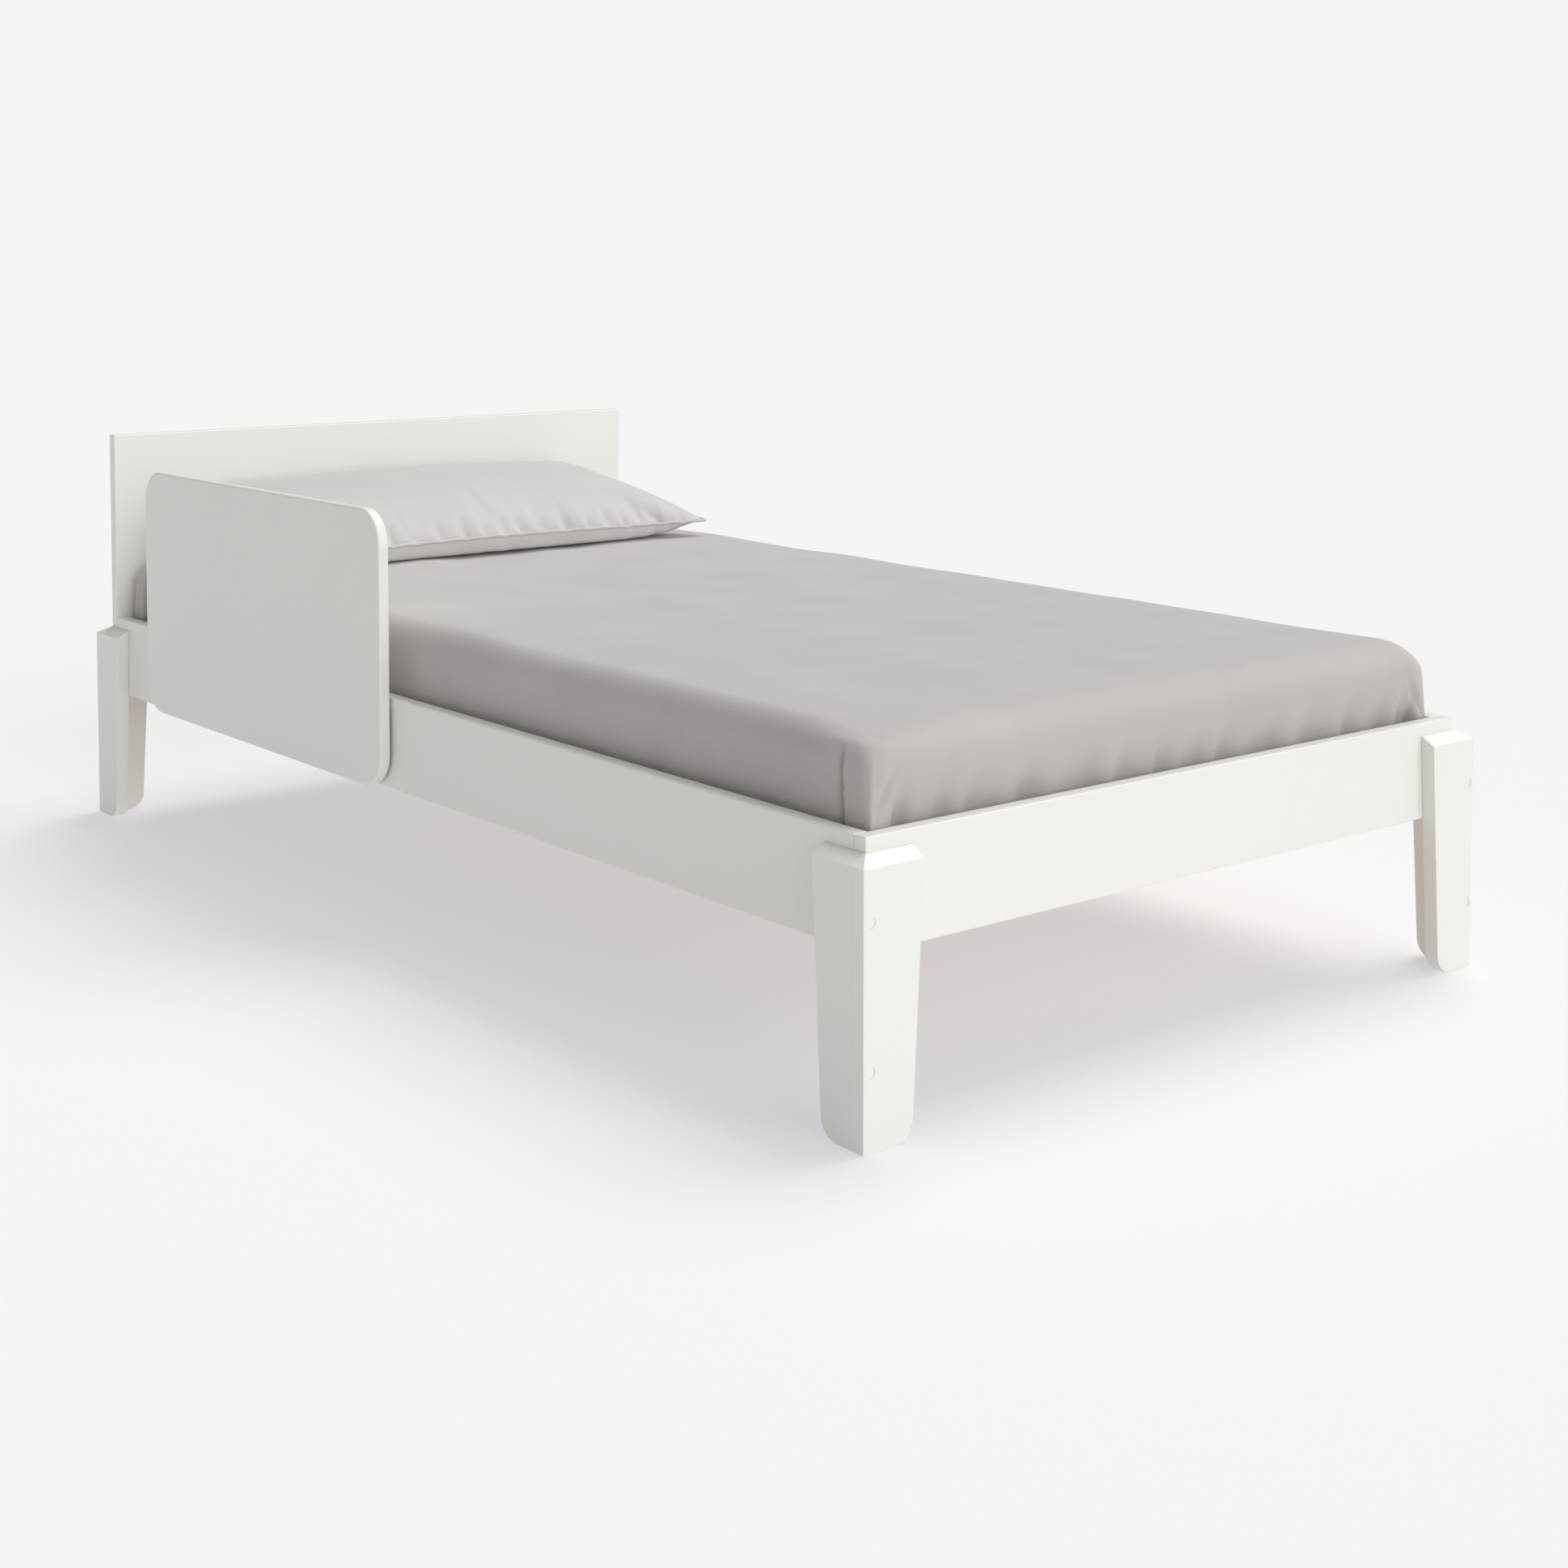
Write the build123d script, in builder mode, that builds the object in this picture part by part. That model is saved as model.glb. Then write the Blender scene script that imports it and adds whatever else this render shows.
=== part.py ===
from build123d import *
import os
from math import cos, radians, sin

os.makedirs("parts", exist_ok=True)

# A toddler bed for a 70 x 140 cm mattress, in millimetres.
# +Y runs from the foot end to the head end, +X to the bed's right, +Z up.
# The origin is on the floor, under the middle of the frame.

# Frame
BED_LENGTH = 1454.0       # over the foot rail and the headboard
BED_WIDTH = 770.0         # over the two side rails
BOARD = 15.0              # thickness of every frame board
RAIL_BOTTOM = 155.0
RAIL_TOP = 250.0
HEADBOARD_TOP = 480.0
ARRIS = 1.2               # rounding of the lacquered boards' edges

# Legs: two boards in an L, standing one board proud of the rails
LEG_TOP = 238.0           # where the top bevel meets the rail
LEG_BEVEL_DROP = 9.0      # how far the bevel falls over the board's thickness
LEG_WIDTH_FLOOR = 52.0
LEG_WIDTH_TOP = 65.0
LEG_TOE_RADIUS = 20.0     # inner bottom corner
LEG_SCREW_HEIGHTS = (65.5, 186.0)
LEG_BOLT_HEIGHTS = (175.0, 219.0)
LEG_BOLT_INSET = 42.0     # bolt axis, from the leg's outer corner

# Guard panel
GUARD_FOOT_END = 20.0
GUARD_HEAD_END = 590.0
GUARD_BOTTOM = 155.0
GUARD_TOP = 446.0
GUARD_THICK = 12.0
GUARD_GAP = 3.0           # spacer between guard and rail
GUARD_CORNER = 38.0
GUARD_BOLT_INSET = 75.0
GUARD_BOLT_HEIGHTS = (166.5, 232.0)

# Mattress base
CLEAT_WIDTH = 20.0
CLEAT_HEIGHT = 22.0
CLEAT_TOP = 200.0
CLEAT_LENGTH = 1344.0
SLAT_COUNT = 13
SLAT_WIDTH = 60.0
SLAT_THICK = 12.0
SLAT_END_GAP = 2.0
SLAT_RUN = 1284.0         # first slat's centre to the last slat's
CLEAT_SCREWS = 4          # along each cleat, each midway between two slats
SLATS_PER_CLEAT_SCREW = 3

# Mattress, sheet and pillow
MATTRESS_WIDTH = 722.0
MATTRESS_LENGTH = 1410.0
MATTRESS_THICK = 110.0
MATTRESS_CORNER = 40.0
MATTRESS_EDGE = 28.0
SHEET = 1.2
SHEET_HEM = 70.0          # width turned under the mattress
REST_GAP = 0.4            # between soft pieces on different bodies
PILLOW_LENGTH = 600.0     # along X
PILLOW_DEPTH = 268.0
PILLOW_THICK = 68.0
PILLOW_CORNER = 50.0
PILLOW_EDGE = 32.0
PILLOW_TILT = 9.0         # degrees, back edge raised
SEAM_LENGTH = 628.0
SEAM_DEPTH = 286.0
SEAM_THICK = 2.4

# Fixings
SCREW_SHANK = 5.0
SCREW_LENGTH = 44.0
SCREW_HEAD = 8.0
SCREW_HEAD_HEIGHT = 3.0
SCREW_RECESS = 3.0        # depth of the screw head below the face
CAP_DIAMETER = 10.0
CAP_SUNK = 0.8            # depth of the cap's face below the board's
BOLT = 6.0
BOLT_CLEARANCE = 6.5
BOLT_HEAD = 12.0
BOLT_HEAD_HEIGHT = 3.0
INSERT_DIAMETER = 9.0
FRAME_INSERT = 11.0
GUARD_INSERT = 9.0
BOLT_SHORT_OF_INSERT = 0.5
SPACER_DIAMETER = 14.0
DOWEL = 8.0
DOWEL_LENGTH = 30.0
DOWEL_IN_PANEL = 10.0
DOWEL_HEIGHTS = (190.0, 204.0)
WOOD_SCREW = 4.0
WOOD_SCREW_HEAD = 8.0
WOOD_SCREW_HEAD_HEIGHT = 2.5
CLEAT_SCREW_BITE = 11.0   # into the rail
SLAT_SCREW_BITE = 10.0    # into the cleat

# Planes that the rest is placed from
HALF_L = BED_LENGTH / 2
HALF_W = BED_WIDTH / 2
INNER_L = HALF_L - BOARD
INNER_W = HALF_W - BOARD
OUTER_L = HALF_L + BOARD
OUTER_W = HALF_W + BOARD
RAIL_HEIGHT = RAIL_TOP - RAIL_BOTTOM
RAIL_MIDDLE = (RAIL_TOP + RAIL_BOTTOM) / 2
LEG_BOLT_X = OUTER_W - LEG_BOLT_INSET
LEG_BOLT_Y = OUTER_L - LEG_BOLT_INSET
SCREW_X = HALF_W + BOARD / 2
SCREW_HEAD_Y = OUTER_L - SCREW_RECESS
SCREW_TIP_Y = SCREW_HEAD_Y - SCREW_LENGTH
SCREW_BED = SCREW_RECESS + SCREW_HEAD_HEIGHT
DOWEL_X = HALF_W - BOARD / 2
DOWEL_TIP_Y = INNER_L + DOWEL_IN_PANEL
FRAME_INSERT_DEEP = FRAME_INSERT + 1.0
GUARD_INSERT_DEEP = GUARD_INSERT + 0.5
CLEAT_X = INNER_W - CLEAT_WIDTH / 2
CLEAT_MIDDLE = CLEAT_TOP - CLEAT_HEIGHT / 2
SLAT_PITCH = SLAT_RUN / (SLAT_COUNT - 1)
SLAT_YS = [(i - (SLAT_COUNT - 1) / 2) * SLAT_PITCH for i in range(SLAT_COUNT)]
CLEAT_SCREW_PITCH = SLATS_PER_CLEAT_SCREW * SLAT_PITCH
CLEAT_SCREW_YS = [(i - (CLEAT_SCREWS - 1) / 2) * CLEAT_SCREW_PITCH for i in range(CLEAT_SCREWS)]
GUARD_BOLT_YS = (GUARD_FOOT_END + GUARD_BOLT_INSET, GUARD_HEAD_END - GUARD_BOLT_INSET)
GUARD_INNER_X = HALF_W + GUARD_GAP
SLAT_TOP = CLEAT_TOP + SLAT_THICK
MATTRESS_BOTTOM = SLAT_TOP + REST_GAP + SHEET
SHEET_TOP = MATTRESS_BOTTOM + MATTRESS_THICK + SHEET


def keep(piece, label):
    """Label one finished piece and write its STEP file."""
    piece.part.label = label
    export_step(piece.part, f"parts/{label}.step")


def facing_x(x, sign):
    """Plane at X = sign * x whose normal points to sign * X, with its own Y axis up."""
    return Plane(origin=(sign * x, 0, 0), x_dir=(0, sign, 0), z_dir=(sign, 0, 0))


def facing_y(y, sign):
    """Plane at Y = sign * y whose normal points to sign * Y, with its own Y axis up."""
    return Plane(origin=(0, sign * y, 0), x_dir=(-sign, 0, 0), z_dir=(0, sign, 0))


# ---------------------------------------------------------------- end panels

def end_panel(sign, top):
    """A full-width board across one end, drilled for the legs' bolts and the rails' dowels."""
    height = top - RAIL_BOTTOM
    inner = facing_y(INNER_L, sign)
    with BuildPart() as panel:
        with BuildSketch(inner):
            with Locations((0, RAIL_BOTTOM + height / 2)):
                Rectangle(BED_WIDTH, height)
        extrude(amount=BOARD)
        fillet(panel.edges(), radius=ARRIS)
        with BuildSketch(inner):
            with Locations(*[(x, z) for x in (-LEG_BOLT_X, LEG_BOLT_X) for z in LEG_BOLT_HEIGHTS]):
                Circle(BOLT_CLEARANCE / 2)
        extrude(amount=BOARD, mode=Mode.SUBTRACT)
        with BuildSketch(inner):
            with Locations(*[(x, z) for x in (-DOWEL_X, DOWEL_X) for z in DOWEL_HEIGHTS]):
                Circle(DOWEL / 2)
        extrude(amount=DOWEL_IN_PANEL, mode=Mode.SUBTRACT)
    return panel


keep(end_panel(1, HEADBOARD_TOP), "headboard")
keep(end_panel(-1, RAIL_TOP), "foot_rail")


# ---------------------------------------------------------------- side rails

def side_rail(sign, guard_bolts):
    """A board between the end panels; the left one is also drilled for the guard's bolts."""
    inner = facing_x(INNER_W, sign)
    bolt_holes = [(y, z) for y in (-LEG_BOLT_Y, LEG_BOLT_Y) for z in LEG_BOLT_HEIGHTS]
    bolt_holes += [(sign * y, z) for y in guard_bolts for z in GUARD_BOLT_HEIGHTS]
    with BuildPart() as rail:
        with BuildSketch(inner):
            with Locations((0, RAIL_MIDDLE)):
                Rectangle(2 * INNER_L, RAIL_HEIGHT)
        extrude(amount=BOARD)
        fillet(rail.edges(), radius=ARRIS)
        with BuildSketch(inner):
            with Locations(*bolt_holes):
                Circle(BOLT_CLEARANCE / 2)
        extrude(amount=BOARD, mode=Mode.SUBTRACT)
        with BuildSketch(inner):
            with Locations(*[(sign * y, CLEAT_MIDDLE) for y in CLEAT_SCREW_YS]):
                Circle(WOOD_SCREW / 2)
        extrude(amount=CLEAT_SCREW_BITE, mode=Mode.SUBTRACT)
        for end in (-1, 1):
            with BuildSketch(facing_y(INNER_L, end)):
                with Locations(*[(-end * sign * DOWEL_X, z) for z in DOWEL_HEIGHTS]):
                    Circle(DOWEL / 2)
            extrude(amount=DOWEL_IN_PANEL - DOWEL_LENGTH, mode=Mode.SUBTRACT)
    return rail


keep(side_rail(-1, GUARD_BOLT_YS), "side_rail_left")
keep(side_rail(1, ()), "side_rail_right")


# ---------------------------------------------------------------- legs

def leg_outline(start, corner):
    """A leg board's four corners: upright where it starts, tapered on the side nearer the middle.

    start is where the board begins and corner the leg's outer corner, both as distances
    from the bed's middle.
    """
    toe = corner - LEG_WIDTH_FLOOR
    shoulder = corner - LEG_WIDTH_TOP
    return [(start, 0), (start, LEG_TOP), (shoulder, LEG_TOP), (toe, 0)]


def leg_boards(foot_or_head, left_or_right):
    """One corner's end board and side board, made at the +X +Y corner and mirrored into place."""
    across = Plane(origin=(0, HALF_L, 0), x_dir=(1, 0, 0), z_dir=(0, -1, 0))
    along = Plane(origin=(HALF_W, 0, 0), x_dir=(0, 1, 0), z_dir=(1, 0, 0))
    slope_y = Plane(origin=(0, HALF_L, LEG_TOP), x_dir=(1, 0, 0), z_dir=(0, LEG_BEVEL_DROP, BOARD))
    slope_x = Plane(origin=(HALF_W, 0, LEG_TOP), x_dir=(0, 1, 0), z_dir=(LEG_BEVEL_DROP, 0, BOARD))

    with BuildPart() as end_board:
        with BuildSketch(across):
            with BuildLine():
                Polyline(*leg_outline(OUTER_W, OUTER_W), close=True)
            make_face()
        extrude(amount=-BOARD)
        toe = end_board.edges().filter_by(Axis.Y).group_by(Axis.Z)[0].sort_by(Axis.X)[0]
        fillet(toe, radius=LEG_TOE_RADIUS)
        split(bisect_by=slope_y, keep=Keep.BOTTOM)
        split(bisect_by=slope_x, keep=Keep.BOTTOM)
        fillet(end_board.edges(), radius=ARRIS / 2)
        with BuildSketch(across):
            with Locations(*[(LEG_BOLT_X, z) for z in LEG_BOLT_HEIGHTS]):
                Circle(INSERT_DIAMETER / 2)
        extrude(amount=-FRAME_INSERT_DEEP, mode=Mode.SUBTRACT)
        with BuildSketch(across):
            with Locations(*[(SCREW_X, z) for z in LEG_SCREW_HEIGHTS]):
                Circle(SCREW_SHANK / 2)
        extrude(amount=-BOARD, mode=Mode.SUBTRACT)
        for radius, depth in ((CAP_DIAMETER / 2, SCREW_RECESS), (SCREW_HEAD / 2, SCREW_BED)):
            with BuildSketch(across.offset(-BOARD)):
                with Locations(*[(SCREW_X, z) for z in LEG_SCREW_HEIGHTS]):
                    Circle(radius)
            extrude(amount=depth, mode=Mode.SUBTRACT)

    with BuildPart() as side_board:
        with BuildSketch(along):
            with BuildLine():
                Polyline(*leg_outline(HALF_L, OUTER_L), close=True)
            make_face()
        extrude(amount=BOARD)
        toe = side_board.edges().filter_by(Axis.X).group_by(Axis.Z)[0].sort_by(Axis.Y)[0]
        fillet(toe, radius=LEG_TOE_RADIUS)
        split(bisect_by=slope_x, keep=Keep.BOTTOM)
        fillet(side_board.edges(), radius=ARRIS / 2)
        with BuildSketch(along):
            with Locations(*[(LEG_BOLT_Y, z) for z in LEG_BOLT_HEIGHTS]):
                Circle(INSERT_DIAMETER / 2)
        extrude(amount=FRAME_INSERT_DEEP, mode=Mode.SUBTRACT)
        with BuildSketch(across):
            with Locations(*[(SCREW_X, z) for z in LEG_SCREW_HEIGHTS]):
                Circle(SCREW_SHANK / 2)
        extrude(amount=HALF_L - SCREW_TIP_Y, mode=Mode.SUBTRACT)

    for board, face in ((end_board, "end_board"), (side_board, "side_board")):
        placed = board.part
        if foot_or_head == "foot":
            placed = placed.mirror(Plane.XZ)
        if left_or_right == "left":
            placed = placed.mirror(Plane.YZ)
        with BuildPart() as turned:
            add(placed)
        keep(turned, f"leg_{foot_or_head}_{left_or_right}_{face}")


for foot_or_head in ("foot", "head"):
    for left_or_right in ("left", "right"):
        leg_boards(foot_or_head, left_or_right)


# ---------------------------------------------------------------- fixings of the frame

with BuildPart() as leg_screws:
    for end in (-1, 1):
        spots = [(side * SCREW_X, z) for side in (-1, 1) for z in LEG_SCREW_HEIGHTS]
        with BuildSketch(facing_y(SCREW_HEAD_Y, end)):
            with Locations(*spots):
                Circle(SCREW_HEAD / 2)
        extrude(amount=-SCREW_HEAD_HEIGHT)
        with BuildSketch(facing_y(SCREW_HEAD_Y, end)):
            with Locations(*spots):
                Circle(SCREW_SHANK / 2)
        extrude(amount=-SCREW_LENGTH)
keep(leg_screws, "leg_screws")

with BuildPart() as leg_screw_caps:
    for end in (-1, 1):
        spots = [(side * SCREW_X, z) for side in (-1, 1) for z in LEG_SCREW_HEIGHTS]
        with BuildSketch(facing_y(SCREW_HEAD_Y, end)):
            with Locations(*spots):
                Circle(CAP_DIAMETER / 2)
        extrude(amount=SCREW_RECESS - CAP_SUNK)
keep(leg_screw_caps, "leg_screw_caps")

FRAME_BOLT_SPOTS = [
    (facing_y(INNER_L, end), [(x, z) for x in (-LEG_BOLT_X, LEG_BOLT_X) for z in LEG_BOLT_HEIGHTS])
    for end in (-1, 1)
] + [
    (facing_x(INNER_W, side), [(y, z) for y in (-LEG_BOLT_Y, LEG_BOLT_Y) for z in LEG_BOLT_HEIGHTS])
    for side in (-1, 1)
]

with BuildPart() as frame_bolts:
    for inner, spots in FRAME_BOLT_SPOTS:
        with BuildSketch(inner):
            with Locations(*spots):
                Circle(BOLT_HEAD / 2)
        extrude(amount=-BOLT_HEAD_HEIGHT)
        with BuildSketch(inner):
            with Locations(*spots):
                Circle(BOLT / 2)
        extrude(amount=BOARD + FRAME_INSERT - BOLT_SHORT_OF_INSERT)
keep(frame_bolts, "frame_bolts")

with BuildPart() as frame_inserts:
    for inner, spots in FRAME_BOLT_SPOTS:
        with BuildSketch(inner.offset(BOARD)):
            with Locations(*spots):
                Circle(INSERT_DIAMETER / 2)
                Circle(BOLT / 2, mode=Mode.SUBTRACT)
        extrude(amount=FRAME_INSERT)
keep(frame_inserts, "frame_inserts")

with BuildPart() as rail_dowels:
    for end in (-1, 1):
        with BuildSketch(facing_y(DOWEL_TIP_Y, end)):
            with Locations(*[(x, z) for x in (-DOWEL_X, DOWEL_X) for z in DOWEL_HEIGHTS]):
                Circle(DOWEL / 2)
        extrude(amount=-DOWEL_LENGTH)
keep(rail_dowels, "rail_dowels")


# ---------------------------------------------------------------- mattress base

def cleat(sign):
    """A ledge screwed to one side rail's inner face, drilled for its own and the slats' screws."""
    inner = facing_x(INNER_W - CLEAT_WIDTH, sign)
    with BuildPart() as ledge:
        with BuildSketch(inner):
            with Locations((0, CLEAT_MIDDLE)):
                Rectangle(CLEAT_LENGTH, CLEAT_HEIGHT)
        extrude(amount=CLEAT_WIDTH)
        with BuildSketch(inner):
            with Locations(*[(sign * y, CLEAT_MIDDLE) for y in CLEAT_SCREW_YS]):
                Circle(WOOD_SCREW / 2)
        extrude(amount=CLEAT_WIDTH, mode=Mode.SUBTRACT)
        with BuildSketch(inner):
            with Locations(*[(sign * y, CLEAT_MIDDLE) for y in CLEAT_SCREW_YS]):
                Circle(WOOD_SCREW_HEAD / 2)
        extrude(amount=WOOD_SCREW_HEAD_HEIGHT, mode=Mode.SUBTRACT)
        with BuildSketch(Plane.XY.offset(CLEAT_TOP)):
            with Locations(*[(sign * CLEAT_X, y) for y in SLAT_YS]):
                Circle(WOOD_SCREW / 2)
        extrude(amount=-SLAT_SCREW_BITE, mode=Mode.SUBTRACT)
    return ledge


keep(cleat(-1), "slat_cleat_left")
keep(cleat(1), "slat_cleat_right")

with BuildPart() as cleat_screws:
    for side in (-1, 1):
        inner = facing_x(INNER_W - CLEAT_WIDTH, side)
        spots = [(side * y, CLEAT_MIDDLE) for y in CLEAT_SCREW_YS]
        with BuildSketch(inner):
            with Locations(*spots):
                Circle(WOOD_SCREW_HEAD / 2)
        extrude(amount=WOOD_SCREW_HEAD_HEIGHT)
        with BuildSketch(inner):
            with Locations(*spots):
                Circle(WOOD_SCREW / 2)
        extrude(amount=CLEAT_WIDTH + CLEAT_SCREW_BITE)
keep(cleat_screws, "cleat_screws")


def slat(y):
    """One slat across the cleats, with a screw hole and head recess at each end."""
    top = Plane.XY.offset(SLAT_TOP)
    with BuildPart() as board:
        with BuildSketch(Plane.XY.offset(CLEAT_TOP)):
            with Locations((0, y)):
                Rectangle(2 * (INNER_W - SLAT_END_GAP), SLAT_WIDTH)
        extrude(amount=SLAT_THICK)
        fillet(board.edges().filter_by(Axis.X), radius=2 * ARRIS)
        with BuildSketch(top):
            with Locations((-CLEAT_X, y), (CLEAT_X, y)):
                Circle(WOOD_SCREW / 2)
        extrude(amount=-SLAT_THICK, mode=Mode.SUBTRACT)
        with BuildSketch(top):
            with Locations((-CLEAT_X, y), (CLEAT_X, y)):
                Circle(WOOD_SCREW_HEAD / 2)
        extrude(amount=-WOOD_SCREW_HEAD_HEIGHT, mode=Mode.SUBTRACT)
    return board


for number, slat_y in enumerate(SLAT_YS, start=1):
    keep(slat(slat_y), f"slat_{number:02d}")

with BuildPart() as slat_screws:
    slat_spots = [(x, y) for x in (-CLEAT_X, CLEAT_X) for y in SLAT_YS]
    with BuildSketch(Plane.XY.offset(SLAT_TOP)):
        with Locations(*slat_spots):
            Circle(WOOD_SCREW_HEAD / 2)
    extrude(amount=-WOOD_SCREW_HEAD_HEIGHT)
    with BuildSketch(Plane.XY.offset(SLAT_TOP)):
        with Locations(*slat_spots):
            Circle(WOOD_SCREW / 2)
    extrude(amount=-(SLAT_THICK + SLAT_SCREW_BITE))
keep(slat_screws, "slat_screws")


# ---------------------------------------------------------------- guard panel

GUARD_BACK = facing_x(GUARD_INNER_X, -1)
RAIL_INSIDE = facing_x(INNER_W, -1)
GUARD_SPOTS = [(-y, z) for y in GUARD_BOLT_YS for z in GUARD_BOLT_HEIGHTS]

with BuildPart() as guard_panel:
    with BuildSketch(GUARD_BACK):
        with Locations((-(GUARD_FOOT_END + GUARD_HEAD_END) / 2, (GUARD_TOP + GUARD_BOTTOM) / 2)):
            RectangleRounded(GUARD_HEAD_END - GUARD_FOOT_END, GUARD_TOP - GUARD_BOTTOM, GUARD_CORNER)
    extrude(amount=GUARD_THICK)
    fillet(guard_panel.edges(), radius=2 * ARRIS)
    with BuildSketch(GUARD_BACK):
        with Locations(*GUARD_SPOTS):
            Circle(INSERT_DIAMETER / 2)
    extrude(amount=GUARD_INSERT_DEEP, mode=Mode.SUBTRACT)
keep(guard_panel, "guard_panel")

with BuildPart() as guard_inserts:
    with BuildSketch(GUARD_BACK):
        with Locations(*GUARD_SPOTS):
            Circle(INSERT_DIAMETER / 2)
            Circle(BOLT / 2, mode=Mode.SUBTRACT)
    extrude(amount=GUARD_INSERT)
keep(guard_inserts, "guard_inserts")

with BuildPart() as guard_spacers:
    with BuildSketch(RAIL_INSIDE.offset(BOARD)):
        with Locations(*GUARD_SPOTS):
            Circle(SPACER_DIAMETER / 2)
            Circle(BOLT_CLEARANCE / 2, mode=Mode.SUBTRACT)
    extrude(amount=GUARD_GAP)
keep(guard_spacers, "guard_spacers")

with BuildPart() as guard_bolts:
    with BuildSketch(RAIL_INSIDE):
        with Locations(*GUARD_SPOTS):
            Circle(BOLT_HEAD / 2)
    extrude(amount=-BOLT_HEAD_HEIGHT)
    with BuildSketch(RAIL_INSIDE):
        with Locations(*GUARD_SPOTS):
            Circle(BOLT / 2)
    extrude(amount=BOARD + GUARD_GAP + GUARD_INSERT - BOLT_SHORT_OF_INSERT)
keep(guard_bolts, "guard_bolts")


# ---------------------------------------------------------------- mattress and sheet

def mattress_form(grown):
    """The mattress as a rounded block, grown outwards by the given amount all round."""
    with BuildPart() as block:
        with BuildSketch(Plane.XY.offset(MATTRESS_BOTTOM - grown)):
            RectangleRounded(
                MATTRESS_WIDTH + 2 * grown, MATTRESS_LENGTH + 2 * grown, MATTRESS_CORNER + grown
            )
        extrude(amount=MATTRESS_THICK + 2 * grown)
        fillet(block.faces().sort_by(Axis.Z)[-1].edges(), radius=MATTRESS_EDGE + grown)
        fillet(block.faces().sort_by(Axis.Z)[0].edges(), radius=MATTRESS_EDGE + grown)
    return block


mattress_core = mattress_form(0)
keep(mattress_core, "mattress_core")

with BuildPart() as fitted_sheet:
    add(mattress_form(SHEET).part)
    add(mattress_core.part, mode=Mode.SUBTRACT)
    with BuildSketch(Plane.XY.offset(MATTRESS_BOTTOM - SHEET)):
        RectangleRounded(
            MATTRESS_WIDTH - 2 * SHEET_HEM, MATTRESS_LENGTH - 2 * SHEET_HEM, MATTRESS_CORNER
        )
    extrude(amount=SHEET, mode=Mode.SUBTRACT)
keep(fitted_sheet, "fitted_sheet")


# ---------------------------------------------------------------- pillow and case

TILT_SIN = sin(radians(PILLOW_TILT))
TILT_COS = cos(radians(PILLOW_TILT))
PILLOW_REACH = SEAM_DEPTH / 2 * TILT_COS + SEAM_THICK
PILLOW_LIFT = (
    (PILLOW_DEPTH / 2 - PILLOW_EDGE) * TILT_SIN
    + (PILLOW_THICK / 2 - PILLOW_EDGE) * TILT_COS
    + PILLOW_EDGE
    + SHEET
)
PILLOW_MIDDLE = Plane(
    origin=(0, INNER_L - REST_GAP - PILLOW_REACH, SHEET_TOP + REST_GAP + PILLOW_LIFT),
    x_dir=(1, 0, 0),
    z_dir=(0, -TILT_SIN, TILT_COS),
)


def pillow_form(grown):
    """The filled pillow as a rounded block about its tilted middle plane, grown all round."""
    with BuildPart() as block:
        with BuildSketch(PILLOW_MIDDLE.offset(-PILLOW_THICK / 2 - grown)):
            RectangleRounded(PILLOW_LENGTH + 2 * grown, PILLOW_DEPTH + 2 * grown, PILLOW_CORNER + grown)
        extrude(amount=PILLOW_THICK + 2 * grown)
        long_faces = block.faces().sort_by(Axis(PILLOW_MIDDLE.origin, PILLOW_MIDDLE.z_dir))
        fillet(long_faces[-1].edges() + long_faces[0].edges(), radius=PILLOW_EDGE + grown)
    return block


pillow_insert = pillow_form(0)
keep(pillow_insert, "pillow_insert")

with BuildPart() as pillowcase:
    add(pillow_form(SHEET).part)
    with BuildSketch(PILLOW_MIDDLE.offset(-SEAM_THICK / 2)):
        Rectangle(SEAM_LENGTH, SEAM_DEPTH)
    extrude(amount=SEAM_THICK)
    add(pillow_insert.part, mode=Mode.SUBTRACT)
keep(pillowcase, "pillowcase")
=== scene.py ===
# A low toddler bed in white lacquer: boards screwed and bolted together, a slatted base, one guard
# panel, and on it a foam mattress in a fitted sheet and a filled pillow in its case.
# The sections below follow the bed as it is put together, from the floor up.
import math

import bmesh
import bpy
import numpy as np
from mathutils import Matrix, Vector


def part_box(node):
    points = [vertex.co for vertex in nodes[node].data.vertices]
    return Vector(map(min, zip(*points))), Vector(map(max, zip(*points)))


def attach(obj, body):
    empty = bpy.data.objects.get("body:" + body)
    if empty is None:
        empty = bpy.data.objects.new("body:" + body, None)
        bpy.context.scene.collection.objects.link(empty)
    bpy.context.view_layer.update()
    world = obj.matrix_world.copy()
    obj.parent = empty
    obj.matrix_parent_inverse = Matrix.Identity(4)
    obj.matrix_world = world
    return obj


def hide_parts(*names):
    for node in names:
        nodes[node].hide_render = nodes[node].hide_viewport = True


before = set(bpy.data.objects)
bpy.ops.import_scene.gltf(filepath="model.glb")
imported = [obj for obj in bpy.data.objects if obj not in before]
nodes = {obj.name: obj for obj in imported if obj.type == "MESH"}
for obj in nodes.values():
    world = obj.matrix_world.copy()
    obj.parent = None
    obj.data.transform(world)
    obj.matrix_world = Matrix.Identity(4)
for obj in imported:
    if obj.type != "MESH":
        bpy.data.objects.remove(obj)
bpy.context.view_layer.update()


# ------------------------------------------------------------------ studio
# Camera: a normal lens a little above the bed's own height, near the foot's left corner.
# Its shift keeps the uprights upright, as on a view camera with a lowered lens board.

CAMERA_PLACE = (-1.6091, -2.1399, 0.7186)
CAMERA_YAW = 38.92
CAMERA_PITCH = 3.5
CAMERA_LENS = 54.91
CAMERA_SHIFT = -0.2507
SENSOR_WIDTH = 36.0          # millimetres, the long side of a full 35 mm frame
FAR_CLIP = 60.0

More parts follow.
